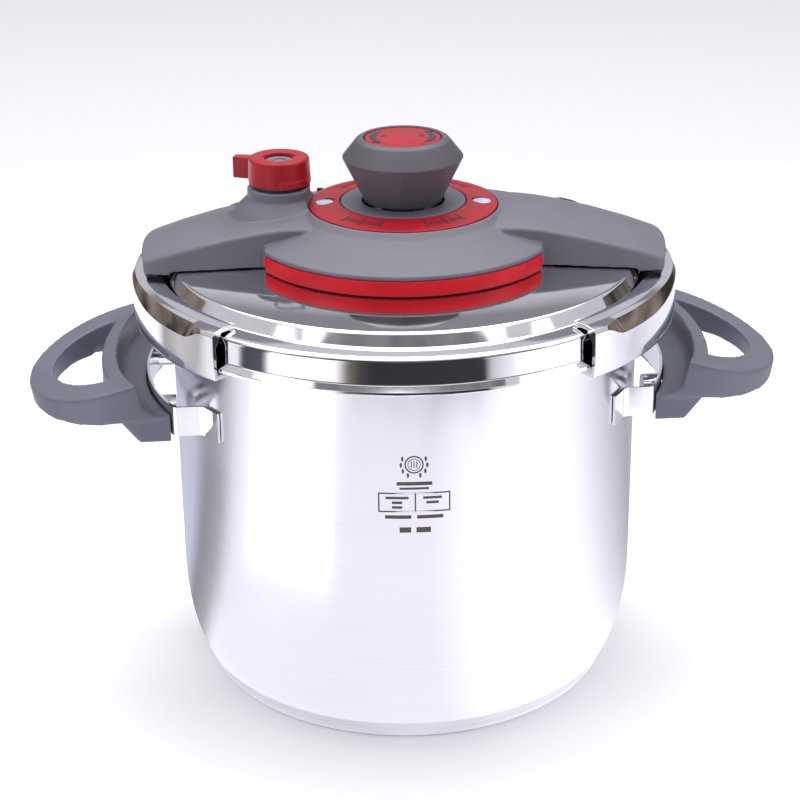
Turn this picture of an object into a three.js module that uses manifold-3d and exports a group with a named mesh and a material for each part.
// Nine litre pressure cooker with a knob-driven, two-jaw lid clamp.
// Millimetres, +Z up. The origin is the centre of the base where it meets the hob, and +X runs from the
// left handle to the right one. The lid is clamped: the jaws grip the lid rim and the pot flange together.
import * as THREE from "three";
import { mergeVertices } from "three/addons/utils/BufferGeometryUtils.js";
import Module from "manifold-3d";

const wasm = await Module();
wasm.setup();

// ---- Driving dimensions -------------------------------------------------------------------------------
const ROUND = 48; // sides of a large round
const SMALL = 14; // sides of a small round
const GAP = 0.3; // clearance between pieces that touch

// The pot's handles lie turn degrees round from the lid's jaws.
const pot = { radius: 120.7, wall: 1, turn: 5.2 };
const corner = { width: 20, height: 58, top: 60 }; // the elliptical round at the foot of the wall
const base = { radius: 103.2, rim: 110.4, height: 11.1, skin: 1.1 };
const flange = { radius: 132.4, bead: 3, under: 203.4, top: 206.6, fillet: 5 };
const lid = { rim: 134.2, flare: 136.7, skirt: 201.6, skin: 1.2, plate: 228.5, ledge: 219.4 };
const step = { radius: 118.5, top: 226.1, width: 5 }; // where the lid's dome drops to its ledge
const jaw = { outer: 139.6, bottom: 197.4, top: 222.6, skin: 2, lowerLip: 126.5, upperLip: 124.5, span: 50 };
const travel = { jaw: 14, turn: 90 };
const arm = { half: 22.5, under: 229.8, skin: 1.6, inner: 14, bend: 79, knee: 118.5, kneeUnder: 226.9 };
const armFoot = { x: 124.5, end: 133.6, top: 224.9 };
const cam = { radius: 42, under: 233.2, skin: 2.6, pinClosed: 22, pinRadius: 2.5, hub: 11, hubTop: 261.5 };
const dome = { radius: 79.4, under: 229.2, lip: 237.1, ringOuter: 48.4, ringInner: 32.2, top: 253.7 };
const bridge = { end: 134, wall: 1.8, crown: 3.4, draft: 3 };
const knob = { foot: 20.3, waist: 30.6, crown: 22.6, bottom: 254.1, shoulder: 275.4, top: 286.6, cap: 19.5 };
const selector = { x: -63, y: 4, radius: 16, bottom: 262.5, top: 275.7, tab: 24.3, tabTurn: -15, hole: 8 };
const lock = { x: 62, y: 0 };
const safety = { x: 0, y: 58 };
const grip = { tip: 196, centre: 150, half: 62.5, neck: 135.5, hole: 158, blockHalf: 58.5 };
const bracket = { half: 61, top: 169.5, bottom: 154, plate: 135, skin: 1.3, screwY: 36, screwZ: 160 };

const PAINT = {
  steel: { color: 0xd9dae2, roughness: 0.32, metalness: 1 },
  mirror: { color: 0xf0f0f4, roughness: 0.06, metalness: 1 },
  aluminium: { color: 0xb9bbc0, roughness: 0.5, metalness: 1 },
  plated: { color: 0xc9c9cc, roughness: 0.25, metalness: 1 },
  grey: { color: 0x7b7b84, roughness: 0.55, metalness: 0 },
  darkGrey: { color: 0x4c4a50, roughness: 0.6, metalness: 0 },
  handle: { color: 0x6f7280, roughness: 0.5, metalness: 0 },
  red: { color: 0xb5101f, roughness: 0.35, metalness: 0 },
  black: { color: 0x18181a, roughness: 0.6, metalness: 0 },
  silicone: { color: 0xd7d4cc, roughness: 0.7, metalness: 0 },
  lens: { color: 0xb9c8e8, roughness: 0.15, metalness: 0 },
};

// ---- Geometry helpers ---------------------------------------------------------------------------------
const radians = THREE.MathUtils.degToRad;

// Solid of revolution about Z from [radius, height] points, listed with the material on their left.
function turned(profile, sides = ROUND) {
  const points = profile.map(([r, z]) => new THREE.Vector2(r, z));
  return new THREE.LatheGeometry(points, sides).rotateX(Math.PI / 2);
}

// A ring or tube: the closed outline between two radii and two heights.
function tube(inner, outer, bottom, top, sides = SMALL) {
  return turned(
    [
      [inner, bottom],
      [outer, bottom],
      [outer, top],
      [inner, top],
      [inner, bottom],
    ],
    sides,
  );
}

function rod(radius, bottom, top, sides = SMALL) {
  const height = top - bottom;
  return new THREE.CylinderGeometry(radius, radius, height, sides)
    .rotateX(Math.PI / 2)
    .translate(0, 0, bottom + height / 2);
}

function slab(x, y, z) {
  return new THREE.BoxGeometry(x[1] - x[0], y[1] - y[0], z[1] - z[0]).translate(
    (x[0] + x[1]) / 2,
    (y[0] + y[1]) / 2,
    (z[0] + z[1]) / 2,
  );
}

function prism(shape, bottom, top, curveSegments = 12) {
  return new THREE.ExtrudeGeometry(shape, {
    depth: top - bottom,
    bevelEnabled: false,
    curveSegments,
  }).translate(0, 0, bottom);
}

function polygon(points) {
  return new THREE.Shape(points.map(([x, y]) => new THREE.Vector2(x, y)));
}

function hexagon(acrossFlats) {
  const reach = acrossFlats / Math.sqrt(3);
  const corners = [0, 1, 2, 3, 4, 5].map((i) => radians(60 * i));
  return polygon(corners.map((a) => [reach * Math.cos(a), reach * Math.sin(a)]));
}

// A coil spring standing on Z, between two heights.
function coil(radius, wire, turns, bottom, top) {
  class Helix extends THREE.Curve {
    getPoint(t, target = new THREE.Vector3()) {
      const angle = 2 * Math.PI * turns * t;
      const height = THREE.MathUtils.lerp(bottom + wire, top - wire, t);
      return target.set(radius * Math.cos(angle), radius * Math.sin(angle), height);
    }
  }
  const section = new THREE.Shape().absarc(0, 0, wire, 0, 2 * Math.PI);
  return new THREE.ExtrudeGeometry(section, {
    steps: turns * 10,
    extrudePath: new Helix(),
    curveSegments: 3,
    bevelEnabled: false,
  });
}

function toSolid(geometry) {
  const bare = geometry.clone();
  bare.deleteAttribute("normal");
  bare.deleteAttribute("uv");
  const merged = mergeVertices(bare, 1e-4);
  const triVerts = new Uint32Array(merged.index.array);
  const vertProperties = merged.attributes.position.array;
  return new wasm.Manifold(new wasm.Mesh({ numProp: 3, vertProperties, triVerts }));
}

function toGeometry(solid) {
  const { vertProperties, triVerts } = solid.getMesh();
  return new THREE.BufferGeometry()
    .setAttribute("position", new THREE.BufferAttribute(vertProperties, 3))
    .setIndex(new THREE.BufferAttribute(triVerts, 1));
}

const cut = (from, ...tools) => toGeometry(tools.reduce((s, t) => s.subtract(toSolid(t)), toSolid(from)));
const join = (first, ...others) => toGeometry(others.reduce((s, t) => s.add(toSolid(t)), toSolid(first)));
const common = (first, other) => toGeometry(toSolid(first).intersect(toSolid(other)));

// A wedge about the origin, between two angles in degrees from +X.
function wedge(from, to, reach, bottom, top) {
  const middle = radians((from + to) / 2);
  const far = reach / Math.cos(radians((to - from) / 4));
  const shape = polygon([
    [0, 0],
    [reach * Math.cos(radians(from)), reach * Math.sin(radians(from))],
    [far * Math.cos(middle), far * Math.sin(middle)],
    [reach * Math.cos(radians(to)), reach * Math.sin(radians(to))],
  ]);
  return prism(shape, bottom, top);
}

// ---- The scene graph ----------------------------------------------------------------------------------
const cooker = new THREE.Group();
const potGroup = new THREE.Group();
const lidGroup = new THREE.Group();
potGroup.rotation.z = radians(pot.turn);
cooker.add(potGroup, lidGroup);

function place(group, name, geometry, paint, x = 0, y = 0) {
  geometry.computeVertexNormals();
  const mesh = new THREE.Mesh(geometry, new THREE.MeshStandardMaterial(PAINT[paint]));
  mesh.name = name;
  mesh.position.set(x, y, 0);
  group.add(mesh);
}

// ---- Pot ----------------------------------------------------------------------------------------------
// The wall's foot is a quarter of an ellipse. inset moves it inwards for the inner face.
function wallFoot(bottom, inset, steps) {
  const points = [];
  for (let i = 0; i <= steps; i++) {
    const z = THREE.MathUtils.lerp(bottom, corner.top, Math.sin((i / steps) * (Math.PI / 2)));
    const drop = (corner.top - z) / (corner.height + inset);
    const r = pot.radius - corner.width + corner.width * Math.sqrt(1 - drop * drop);
    points.push([r - inset, z]);
  }
  return points;
}

function arcPoints(centreR, centreZ, radius, from, to, steps) {
  const points = [];
  for (let i = 0; i <= steps; i++) {
    const a = radians(THREE.MathUtils.lerp(from, to, i / steps));
    points.push([centreR + radius * Math.cos(a), centreZ + radius * Math.sin(a)]);
  }
  return points;
}

function potShell() {
  const floor = base.height + GAP;
  const bend = flange.under - flange.fillet;
  const neck = pot.radius + flange.fillet;
  const outer = arcPoints(neck, bend, flange.fillet, 180, 90, 3);
  const inner = arcPoints(neck, bend, flange.fillet + pot.wall, 90, 180, 3);
  const beadInner = flange.radius - flange.bead;
  return turned([
    [0, floor],
    ...wallFoot(floor, 0, 7),
    ...outer,
    [flange.radius, flange.under],
    [flange.radius, flange.top],
    [beadInner, flange.top],
    [beadInner, flange.under + pot.wall],
    ...inner,
    ...wallFoot(floor + pot.wall, pot.wall, 5).reverse(),
    [0, floor + pot.wall],
  ]);
}

function baseCap() {
  const { radius, rim, height, skin } = base;
  return turned([
    [0, 0],
    [radius, 0],
    [radius + 3.6, 1.4],
    [radius + 5.8, 4.6],
    [rim, height],
    [rim - skin, height],
    [radius + 4.7, 5],
    [radius + 2.9, 2.3],
    [radius - 0.3, skin],
    [0, skin],
  ]);
}

function baseCore() {
  const bottom = base.skin + GAP;
  return turned([
    [0, bottom],
    [base.radius - 1, bottom],
    [base.radius + 3.9, 5.4],
    [base.radius + 5.3, base.height],
    [0, base.height],
  ]);
}

// ---- Pot handles --------------------------------------------------------------------------------------
const gripTop = (x) => 168 + 0.28 * (190 - x);
const gripUnder = (x) => 157.9 + 0.08 * (195 - x);

// The loop in plan: half an ellipse outside, straight sides to the neck, and a finger hole between.
function gripLoop() {
  const shape = new THREE.Shape();
  shape.moveTo(125, -60);
  shape.lineTo(grip.centre - 8, -grip.half);
  shape.lineTo(grip.centre, -grip.half);
  shape.absellipse(grip.centre, 0, grip.tip - grip.centre, grip.half, -Math.PI / 2, Math.PI / 2);
  shape.lineTo(grip.centre - 8, grip.half);
  shape.lineTo(125, 60);
  const loop = prism(shape, 0, 1, 20);
  const position = loop.attributes.position;
  for (let i = 0; i < position.count; i++) {
    const x = position.getX(i);
    position.setZ(i, THREE.MathUtils.lerp(gripUnder(x), gripTop(x), position.getZ(i)));
  }
  return loop;
}

function fingerHole() {
  const opening = new THREE.Shape();
  opening.absellipse(152, 0, 31, 42, 0, 2 * Math.PI);
  return cut(prism(opening, 130, 210, 14), rod(grip.hole, 120, 220, ROUND));
}

// The neck is round about the pot's axis. Its upper face is a hollow that lets the open jaw pass.
function gripNeck() {
  const block = turned([
    [grip.neck - 6, 150],
    [149.5, 150],
    [grip.hole, 161.5],
    [grip.hole, 176],
    [grip.neck - 6, 176],
    [grip.neck - 6, 150],
  ]);
  return common(block, slab([100, 170], [-grip.blockHalf, grip.blockHalf], [140, 200]));
}

function neckHollow() {
  return turned([
    [grip.neck - 10, 165],
    [141, 165],
    [144.6, 166.8],
    [147.6, 170.2],
    [149.9, 175],
    [151.4, 184],
    [151.4, 200],
    [grip.neck - 10, 200],
    [grip.neck - 10, 165],
  ]);
}

function screwAxis(radius, from, to, side) {
  return rod(radius, from, to)
    .rotateY(Math.PI / 2)
    .translate(0, side * bracket.screwY, bracket.screwZ);
}

function handleGrip() {
  const inside = rod(grip.neck, 120, 220, ROUND);
  const bores = [-1, 1].flatMap((side) => [screwAxis(2.7, 110, 150, side), screwAxis(5.2, 141.5, 165, side)]);
  return cut(join(gripLoop(), gripNeck()), fingerHole(), neckHollow(), inside, ...bores);
}

function handleBracket() {
  const { half, top, bottom, plate, skin } = bracket;
  const wall = pot.radius + GAP;
  const reach = 36; // degrees to the end of each weld flange
  const whole = tube(plate - skin, plate, bottom, top, ROUND);
  const ring = common(whole, slab([100, 150], [-half, half], [140, 180]));
  const parts = [];
  for (const side of [-1, 1]) {
    const edge = [side * (half - skin), side * half].sort((a, b) => a - b);
    parts.push(slab([104.5, 120.5], edge, [bottom, top]));
    const weld = tube(wall, wall + skin, bottom, top, ROUND);
    const limits = [side * 29, side * reach].sort((a, b) => a - b);
    parts.push(common(weld, wedge(limits[0], limits[1], 200, 140, 180)));
    parts.push(screwAxis(6, 108, 130.5, side));
  }
  const bores = [-1, 1].map((side) => screwAxis(2.7, 119, 150, side));
  const hoop = common(join(ring, ...parts), rod(plate, 100, 200, ROUND));
  return cut(hoop, rod(wall, 100, 200, ROUND), ...bores);
}

function handleScrew(side) {
  const shank = screwAxis(2.4, 121, 142, side);
  const head = screwAxis(4.6, 141.8, 145.4, side);
  const socket = screwAxis(1.8, 143.6, 150, side);
  return cut(join(shank, head), socket);
}

// ---- Lid ----------------------------------------------------------------------------------------------
// The lid's outer face from the centre to the rim: a shallow dome, a sloping step down to the ledge that
// the jaws press on, and a vertical rim that flares at its lower edge.
const lidFace = [
  [0, 229],
  [79, lid.plate],
  [step.radius - 1.3, step.top + 0.1],
  [step.radius + 0.9, step.top - 1],
  [step.radius + step.width - 0.3, lid.ledge + 1],
  [step.radius + step.width + 0.4, lid.ledge + 0.1],
  [130.5, lid.ledge - 0.2],
  [lid.rim - 0.8, 218],
  [lid.rim, 216.8],
  [lid.rim, 206.2],
  [lid.flare, 203.4],
  [lid.flare, lid.skirt],
];

function lidShell() {
  const { skin, ledge, rim, flare, skirt } = lid;
  const under = [
    [0, 229 - skin],
    [step.radius - 0.3, step.top - skin],
    [step.radius + step.width - 1.1, ledge - skin],
    [rim - 3.4, ledge - skin - 0.4],
    [rim - skin, 216],
    [rim - skin, 205.6],
    [flare - skin, 202.9],
    [flare - skin, skirt],
  ];
  const holes = [
    rod(5.3, 200, 240),
    rod(6.8, 200, 240).translate(selector.x, selector.y, 0),
    rod(4.3, 200, 240).translate(lock.x, lock.y, 0),
    rod(6.3, 200, 240).translate(safety.x, safety.y, 0),
    ...housingScrewPlaces.map(([x, y]) => rod(2.3, 200, 240, 10).translate(x, y, 0)),
  ];
  return cut(turned([...under, ...[...lidFace].reverse()]), ...holes);
}

function gasket() {
  return turned([
    [126.2, 204.8],
    [129, 204.8],
    [129, 207],
    [132.5, 207],
    [132.5, 215],
    [125, 215],
    [118.6, 203.4],
    [121, 203.4],
    [126.2, 208],
    [126.2, 204.8],
  ]);
}

const housingScrewPlaces = [
  [-50, 46],
  [-50, -46],
  [50, -46],
  [50, 46],
];

function centreStud() {
  return turned(
    [
      [0, 214],
      [5, 214],
      [5, 229.3],
      [10.5, 229.3],
      [10.5, 231.4],
      [5, 231.4],
      [5, 247],
      [4, 248],
      [0, 248],
    ],
    SMALL,
  );
}

function nut(acrossFlats, hole, bottom, top) {
  return cut(prism(hexagon(acrossFlats), bottom, top), rod(hole, bottom - 1, top + 1));
}

function armGuide(side) {
  const x = [side * 79, side * 89].sort((a, b) => a - b);
  const strap = slab(x, [-arm.half - 4.6, arm.half + 4.6], [228.9, 234.4]);
  const feet = [-1, 1].map((s) => {
    const y = [s * (arm.half + 1.6), s * (arm.half + 6)].sort((a, b) => a - b);
    return slab([x[0] - 1, x[1] + 1], y, [230.4, 236]);
  });
  const passage = slab([x[0] - 1, x[1] + 1], [-arm.half - 0.5, arm.half + 0.5], [220, 232.5]);
  return cut(strap, passage, ...feet);
}

// ---- Housing ------------------------------------------------------------------------------------------
// The bridge's outline at distances from the middle: half its width and height at the crease between the
// side face and the crowned top, and the height of its lower edge, which follows the lid.
const bridgeStations = [
  { x: 60, half: 31, crease: 247.8, bottom: 229.1 },
  { x: 79, half: 31, crease: 244.6, bottom: 228.9 },
  { x: 98, half: 30.7, crease: 240.4, bottom: 227.7 },
  { x: 116.9, half: 29.4, crease: 235.2, bottom: 226.5 },
  { x: 118.4, half: 29.2, crease: 234.7, bottom: 224.8 },
  { x: 140, half: 26.6, crease: 227.6, bottom: 224.8 },
];

// One cross-section of the bridge: flat below, two side faces, and a crowned top. inset gives the hollow,
// which is open below.
function bridgeSection(x, { half, crease, bottom }, inset) {
  const foot = inset > 0 ? 200 : bottom;
  const halfFoot = half + bridge.draft - inset;
  const points = [
    [x, -halfFoot, foot],
    [x, halfFoot, foot],
  ];
  for (let i = 0; i <= 6; i++) {
    const across = 1 - i / 3;
    points.push([x, across * (half - inset), crease - inset + bridge.crown * (1 - across * across)]);
  }
  return points;
}

// A closed solid through convex sections that all have the same number of points.
function loft(sections) {
  const size = sections[0].length;
  const index = [];
  for (let s = 0; s + 1 < sections.length; s++) {
    for (let i = 0; i < size; i++) {
      const a = s * size + i;
      const b = s * size + ((i + 1) % size);
      index.push(a, b, a + size, b, b + size, a + size);
    }
  }
  const last = (sections.length - 1) * size;
  for (let i = 1; i + 1 < size; i++) {
    index.push(0, i + 1, i, last, last + i, last + i + 1);
  }
  const corners = new Float32Array(sections.flat(2));
  const position = new THREE.BufferAttribute(corners, 3);
  return new THREE.BufferGeometry().setAttribute("position", position).setIndex(index);
}

function bridgeSolid(inset) {
  const right = bridgeStations.map((station) => bridgeSection(station.x, station, inset));
  const left = bridgeStations.map((station) => bridgeSection(-station.x, station, inset)).reverse();
  const ends = new THREE.Shape().absarc(0, 0, bridge.end - inset, 0, 2 * Math.PI);
  return common(loft([...left, ...right]), prism(ends, 200, 300, 24));
}

// The round middle of the housing: the porches in front and behind, and the seat of the dial ring.
function domeSolid() {
  const { radius, under, lip, ringOuter, ringInner } = dome;
  return turned([
    [0, under],
    [radius - 1.2, under],
    [radius - 1.2, lip],
    [radius, lip],
    [radius, lip + 1.2],
    [radius - 0.8, lip + 1.9],
    [61, 244.2],
    [52, 249.3],
    [ringOuter, 251.4],
    [ringOuter, 249.6],
    [ringInner, 251.4],
    [0, 251.4],
  ]);
}

function domeHollow() {
  return turned([
    [0, 200],
    [dome.radius - 4.2, 200],
    [dome.radius - 4.2, 235.2],
    [60, 241.4],
    [48, 246.8],
    [20, 248.4],
    [0, 248.4],
  ]);
}

function windowHoles(radius) {
  return [-1, 1].map((side) => rod(radius, 240, 260).translate(side * 40, 0, 0));
}

// The collar that rises out of the left arm round the steam valve.
function valveMound() {
  const { x, y, radius } = selector;
  const collar = turned(
    [
      [0, 240],
      [27, 240],
      [27, 245.5],
      [22.5, 250.2],
      [radius + 3.4, 253],
      [radius + 0.8, 255.4],
      [radius + 0.8, 260.2],
      [0, 260.2],
    ],
    28,
  );
  return collar.translate(x, y, 0);
}

function housingTop() {
  const valveWay = rod(12.6, 220, 263, 28).translate(selector.x, selector.y, 0);
  const ringSeat = turned([
    [0, 251.4],
    [dome.ringInner, 251.4],
    [dome.ringOuter, 249.6],
    [dome.ringOuter, 251.4],
    [52, 252.2],
    [52, 270],
    [0, 270],
  ]);
  const mound = cut(valveMound(), rod(dome.ringOuter + 1.2, 200, 300, ROUND));
  const solid = join(cut(join(bridgeSolid(0), domeSolid()), ringSeat), mound);
  const shell = cut(solid, bridgeSolid(bridge.wall), domeHollow(), valveWay);
  const pillars = housingScrewPlaces.map(([x, y]) => tube(1.9, 4.6, dome.under, 239.5, 10).translate(x, y, 0));
  const armWay = slab([-140, 140], [-arm.half - 1.5, arm.half + 1.5], [220, 229.1]);
  const shaft = rod(20.8, 240, 260, 32);
  return cut(join(shell, ...pillars), armWay, shaft, ...windowHoles(5.2));
}

function trim(side) {
  const { radius, under, lip } = dome;
  const band = tube(radius - 0.9, radius + 0.3, under, lip - GAP, ROUND);
  return common(band, wedge(side * 90 - 60, side * 90 + 60, 200, 200, 260));
}

function dialRing() {
  const { ringOuter, ringInner, top } = dome;
  const ring = turned([
    [ringInner + GAP, 251.7],
    [ringOuter - GAP, 249.9],
    [ringOuter - GAP, 251.5],
    [ringOuter - 0.8, 252],
    [ringInner + GAP, top],
    [ringInner + GAP, 251.7],
  ]);
  return cut(ring, ...windowHoles(5.1));
}

function knobCollar() {
  return turned(
    [
      [21.1, 251.7],
      [31.9, 251.7],
      [31.9, dome.top - 0.4],
      [31.5, dome.top],
      [21.1, dome.top],
      [21.1, 251.7],
    ],
    32,
  );
}

// ---- Selector valve -----------------------------------------------------------------------------------
function valveBody() {
  return turned(
    [
      [1.6, 212],
      [6.5, 212],
      [6.5, 229.2],
      [11, 229.2],
      [11, 233],
      [7, 235],
      [7, 265.4],
      [1.6, 265.4],
      [1.6, 212],
    ],
    SMALL,
  );
}

function selectorCap() {
  const { radius, bottom, top, tab, tabTurn, hole } = selector;
  const body = turned(
    [
      [7.4, bottom],
      [radius - 0.5, bottom],
      [radius, bottom + 0.6],
      [radius - 0.3, top - 1.2],
      [radius - 1.4, top],
      [hole + 0.8, top],
      [hole, top - 0.8],
      [hole, top - 3],
      [9.9, top - 3],
      [9.9, bottom + 2.6],
      [7.4, bottom + 2.6],
      [7.4, bottom],
    ],
    32,
  );
  const lever = polygon([
    [-radius + 2, -3.1],
    [-radius + 2, 3.1],
    [-tab + 0.6, 2.6],
    [-tab, 2],
    [-tab, -2],
    [-tab + 0.6, -2.6],
  ]);
  return join(body, prism(lever, bottom + 0.6, top - 0.8).rotateZ(radians(tabTurn)));
}

function valvePlunger() {
  return turned(
    [
      [0, 265.7],
      [9.4, 265.7],
      [9.4, 267.2],
      [7.4, 267.2],
      [7.4, 273],
      [6.6, 273.8],
      [0, 273.8],
    ],
    SMALL,
  );
}

// ---- Safety valve and lock pin ------------------------------------------------------------------------
function safetyBody() {
  return turned(
    [
      [1.8, 217],
      [6, 217],
      [6, 229.3],
      [8.4, 229.3],
      [8.4, 234],
      [6.4, 237.6],
      [2.4, 237.6],
      [2.4, 236],
      [4, 236],
      [4, 223],
      [1.8, 221],
      [1.8, 217],
    ],
    SMALL,
  );
}

function safetyPoppet() {
  return turned(
    [
      [0, 221.6],
      [1.4, 221.8],
      [3.6, 224.2],
      [3.6, 226.6],
      [1.4, 226.6],
      [1.4, 232],
      [0, 232],
    ],
    12,
  );
}

function lockSleeve() {
  return tube(2.3, 4, 221.5, 228.9, 16);
}

function lockPin() {
  return turned(
    [
      [0, 214.5],
      [4.6, 214.5],
      [4.6, 216.8],
      [2, 216.8],
      [2, 233.4],
      [1.4, 234],
      [0, 234],
    ],
    12,
  );
}

// ---- Jaws ---------------------------------------------------------------------------------------------
// The rolled C section that hooks over the lid rim and under the pot flange.
function jawArc(side) {
  const { outer, bottom, top, skin, lowerLip, upperLip, span } = jaw;
  const ring = turned(
    [
      [lowerLip, bottom],
      [outer - 1.2, bottom],
      [outer, bottom + 1.2],
      [outer, 216.4],
      [outer - 4.6, top - 0.7],
      [outer - 6.4, top],
      [upperLip, top],
      [upperLip, top - skin],
      [outer - 6.4, top - skin],
      [outer - 3.8, 218.6],
      [outer - skin, 215.5],
      [outer - skin, bottom + skin],
      [lowerLip, bottom + skin],
      [lowerLip, bottom],
    ],
    60,
  );
  const middle = side < 0 ? 180 : 0;
  const arc = common(ring, wedge(middle - span, middle + span, 220, 190, 230));
  return cut(arc, ...[-1, 1].map((s) => rod(2.5, 210, 230).translate(side * rivetX, s * rivetY, 0)));
}

const rivetY = 16;
const rivetX = 128.8;

function jawArm(side) {
  const { half, under, skin, inner, bend, knee, kneeUnder } = arm;
  const { x: foot, end, top } = armFoot;
  const profile = polygon([
    [inner, under],
    [bend, under],
    [knee, kneeUnder],
    [foot, top - skin],
    [end + 1, top - skin],
    [end + 1, top],
    [foot + 0.8, top],
    [knee + 0.8, kneeUnder + skin],
    [bend, under + skin],
    [inner, under + skin],
  ]);
  const roundEnd = rod(end, 200, 250, ROUND);
  const bar = common(prism(profile, -half, half).rotateX(Math.PI / 2), roundEnd);
  const holes = [rod(cam.pinRadius + GAP, 220, 240).translate(cam.pinClosed, 0, 0)];
  for (const s of [-1, 1]) holes.push(rod(2.5, 215, 230).translate(rivetX, s * rivetY, 0));
  // The arm slides round the valve or the lock pin that passes through it.
  const fitting = side < 0 ? { x: -selector.x, y: -selector.y, radius: 11.8 } : { ...lock, radius: 6 };
  const slot = new THREE.Shape();
  slot.absarc(fitting.x, fitting.y, fitting.radius, -Math.PI / 2, Math.PI / 2);
  slot.absarc(fitting.x - travel.jaw - 1, fitting.y, fitting.radius, Math.PI / 2, (3 * Math.PI) / 2);
  holes.push(prism(slot, 220, 240));
  const piece = cut(bar, ...holes);
  return side < 0 ? piece.rotateZ(Math.PI) : piece;
}

function camPin() {
  return turned(
    [
      [0, arm.under + 0.2],
      [cam.pinRadius, arm.under + 0.2],
      [cam.pinRadius, 232.1],
      [4, 232.1],
      [4, 232.8],
      [cam.pinRadius, 232.8],
      [cam.pinRadius, 237],
      [0, 237],
    ],
    SMALL,
  );
}

function rivet() {
  return turned(
    [
      [0, jaw.top - jaw.skin - 0.9],
      [3.2, jaw.top - jaw.skin - 0.9],
      [3.2, jaw.top - jaw.skin - GAP],
      [2.2, jaw.top - jaw.skin - GAP],
      [2.2, armFoot.top + GAP],
      [3.4, armFoot.top + GAP],
      [2.7, armFoot.top + 1.6],
      [0, armFoot.top + 2],
    ],
    12,
  );
}

// ---- Knob and cam -------------------------------------------------------------------------------------
// A spiral slot: the pin's distance from the axis grows evenly as the cam turns.
function camSlot(start) {
  const steps = 12;
  const half = cam.pinRadius + 0.35;
  const over = 0.1; // how far each end runs past the pin's last place, in turns of the knob's range
  const side = (sign) => {
    const points = [];
    for (let i = 0; i <= steps; i++) {
      const t = THREE.MathUtils.lerp(-over, 1 + over, i / steps);
      const angle = start - radians(travel.turn) * t;
      const r = cam.pinClosed + travel.jaw * t + sign * half;
      points.push([r * Math.cos(angle), r * Math.sin(angle)]);
    }
    return points;
  };
  return prism(polygon([...side(1), ...side(-1).reverse()]), 230, 240);
}

function camDisc() {
  const { radius, under, skin, hub, hubTop } = cam;
  const disc = turned(
    [
      [5.4, under],
      [radius, under],
      [radius, under + skin],
      [hub, under + skin],
      [hub, hubTop],
      [2.6, hubTop],
      [2.6, 249],
      [5.4, 249],
      [5.4, under],
    ],
    32,
  );
  return cut(disc, camSlot(0), camSlot(Math.PI));
}

function stateDisc() {
  return tube(cam.hub + GAP, 45.6, 244.6, 245.8, 32);
}

function knobBody() {
  const { foot, waist, crown, bottom, shoulder, top, cap } = knob;
  return turned(
    [
      [cam.hub + GAP, bottom],
      [foot, bottom],
      [foot + 0.9, bottom + 2.4],
      [waist - 0.5, shoulder - 1.2],
      [waist, shoulder],
      [waist - 0.6, shoulder + 1.3],
      [crown + 0.9, top - 0.9],
      [crown - 0.3, top],
      [cap + GAP, top],
      [cap + GAP, 284.2],
      [5.2, 284.2],
      [5.2, 279],
      [2.7, 279],
      [2.7, cam.hubTop + GAP],
      [cam.hub + GAP, cam.hubTop + GAP],
      [cam.hub + GAP, bottom],
    ],
    32,
  );
}

function knobScrew() {
  return turned(
    [
      [0, 252],
      [2.2, 252],
      [2.2, 279.3],
      [4.8, 279.3],
      [4.8, 282.6],
      [4, 283.4],
      [2, 283.4],
      [1.6, 281.4],
      [0, 281.4],
    ],
    SMALL,
  );
}

function knobCap() {
  return turned(
    [
      [0, 284.5],
      [knob.cap, 284.5],
      [knob.cap, 285.7],
      [knob.cap - 0.6, 286.2],
      [knob.cap - 7, 286.7],
      [0, 286.9],
    ],
    32,
  );
}

// ---- Assembly -----------------------------------------------------------------------------------------
place(potGroup, "pot_shell", potShell(), "steel");
place(potGroup, "base_core", baseCore(), "aluminium");
place(potGroup, "base_cap", baseCap(), "steel");

for (const name of ["right", "left"]) {
  const side = new THREE.Group();
  side.rotation.z = name === "right" ? 0 : Math.PI;
  potGroup.add(side);
  place(side, "handle_grip_" + name, handleGrip(), "handle");
  place(side, "handle_bracket_" + name, handleBracket(), "mirror");
  place(side, "handle_screw_" + name + "_a", handleScrew(-1), "plated");
  place(side, "handle_screw_" + name + "_b", handleScrew(1), "plated");
}

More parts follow.
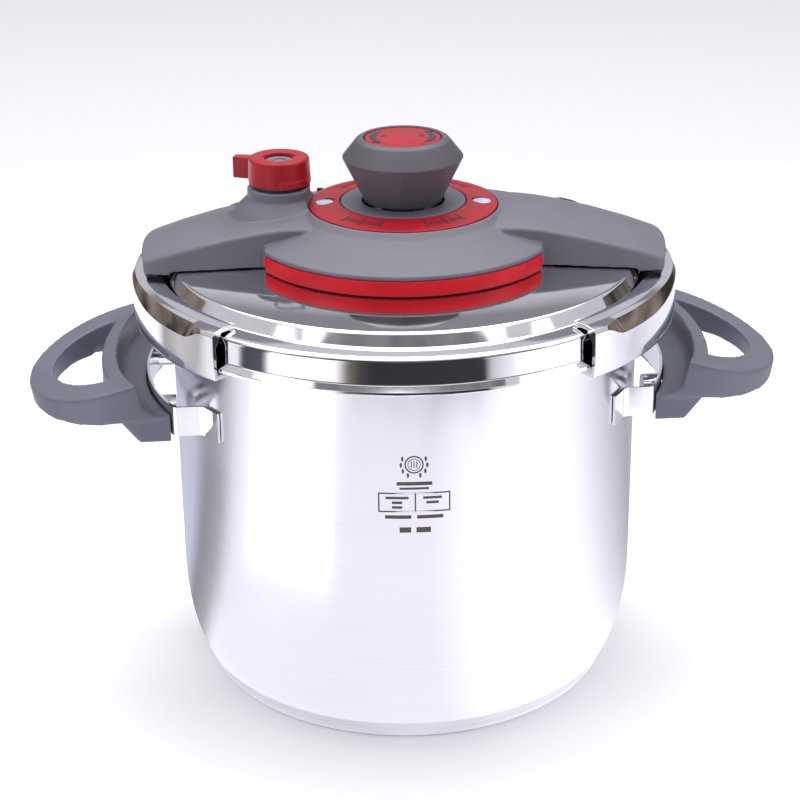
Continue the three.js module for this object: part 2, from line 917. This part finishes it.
place(lidGroup, "lid_shell", lidShell(), "mirror");
place(lidGroup, "gasket", gasket(), "silicone");
place(lidGroup, "centre_stud", centreStud(), "plated");
place(lidGroup, "centre_washer", tube(5.4, 12, 225.8, 226.9), "silicone");
place(lidGroup, "centre_nut", nut(15, 5.4, 218.5, 225.5), "plated");
place(lidGroup, "arm_guide_left", armGuide(-1), "plated");
place(lidGroup, "arm_guide_right", armGuide(1), "plated");
place(lidGroup, "housing_top", housingTop(), "grey");
place(lidGroup, "front_trim", trim(-1), "red");
place(lidGroup, "rear_trim", trim(1), "red");
place(lidGroup, "dial_ring", dialRing(), "red");
place(lidGroup, "knob_collar", knobCollar(), "grey");
place(lidGroup, "window_left", rod(4.8, 247.6, 252.6), "lens", -40, 0);
place(lidGroup, "window_right", rod(4.8, 247.6, 252.6), "lens", 40, 0);
housingScrewPlaces.forEach(([x, y], i) => {
  const screw = join(rod(1.5, 224, 236.8, 10), rod(3.8, 223.4, 225.7, 10));
  place(lidGroup, "housing_screw_" + (i + 1), screw, "plated", x, y);
});

place(lidGroup, "valve_body", valveBody(), "plated", selector.x, selector.y);
place(lidGroup, "valve_seal", tube(6.8, 11, 224.8, 225.8), "silicone", selector.x, selector.y);
place(lidGroup, "valve_nut", nut(19, 6.8, 217.8, 224.5), "plated", selector.x, selector.y);
place(lidGroup, "valve_bezel", tube(7.4, 15.2, 260.5, 262.2, 32), "black", selector.x, selector.y);
place(lidGroup, "selector_cap", selectorCap(), "red", selector.x, selector.y);
place(lidGroup, "valve_plunger", valvePlunger(), "grey", selector.x, selector.y);
place(lidGroup, "valve_spring", coil(8.6, 0.45, 3, 267.5, 272.4), "plated", selector.x, selector.y);

place(lidGroup, "safety_body", safetyBody(), "plated", safety.x, safety.y);
place(lidGroup, "safety_nut", nut(16, 6.3, 219, 225.6), "plated", safety.x, safety.y);
place(lidGroup, "safety_poppet", safetyPoppet(), "silicone", safety.x, safety.y);
place(lidGroup, "safety_spring", coil(2.6, 0.4, 4, 226.9, 235.7), "plated", safety.x, safety.y);
place(lidGroup, "lock_sleeve", lockSleeve(), "silicone", lock.x, lock.y);
place(lidGroup, "lock_pin", lockPin(), "red", lock.x, lock.y);

for (const side of [-1, 1]) {
  const name = side < 0 ? "left" : "right";
  place(lidGroup, "jaw_" + name, jawArc(side), "mirror");
  place(lidGroup, "jaw_arm_" + name, jawArm(side), "plated");
  place(lidGroup, "cam_pin_" + name, camPin(), "plated", side * cam.pinClosed, 0);
  place(lidGroup, "jaw_rivet_" + name + "_a", rivet(), "plated", side * rivetX, -rivetY);
  place(lidGroup, "jaw_rivet_" + name + "_b", rivet(), "plated", side * rivetX, rivetY);
}

place(lidGroup, "cam_disc", camDisc(), "plated");
place(lidGroup, "state_disc", stateDisc(), "silicone");
place(lidGroup, "knob_body", knobBody(), "darkGrey");
place(lidGroup, "knob_screw", knobScrew(), "plated");
place(lidGroup, "knob_cap", knobCap(), "red");

export default cooker;
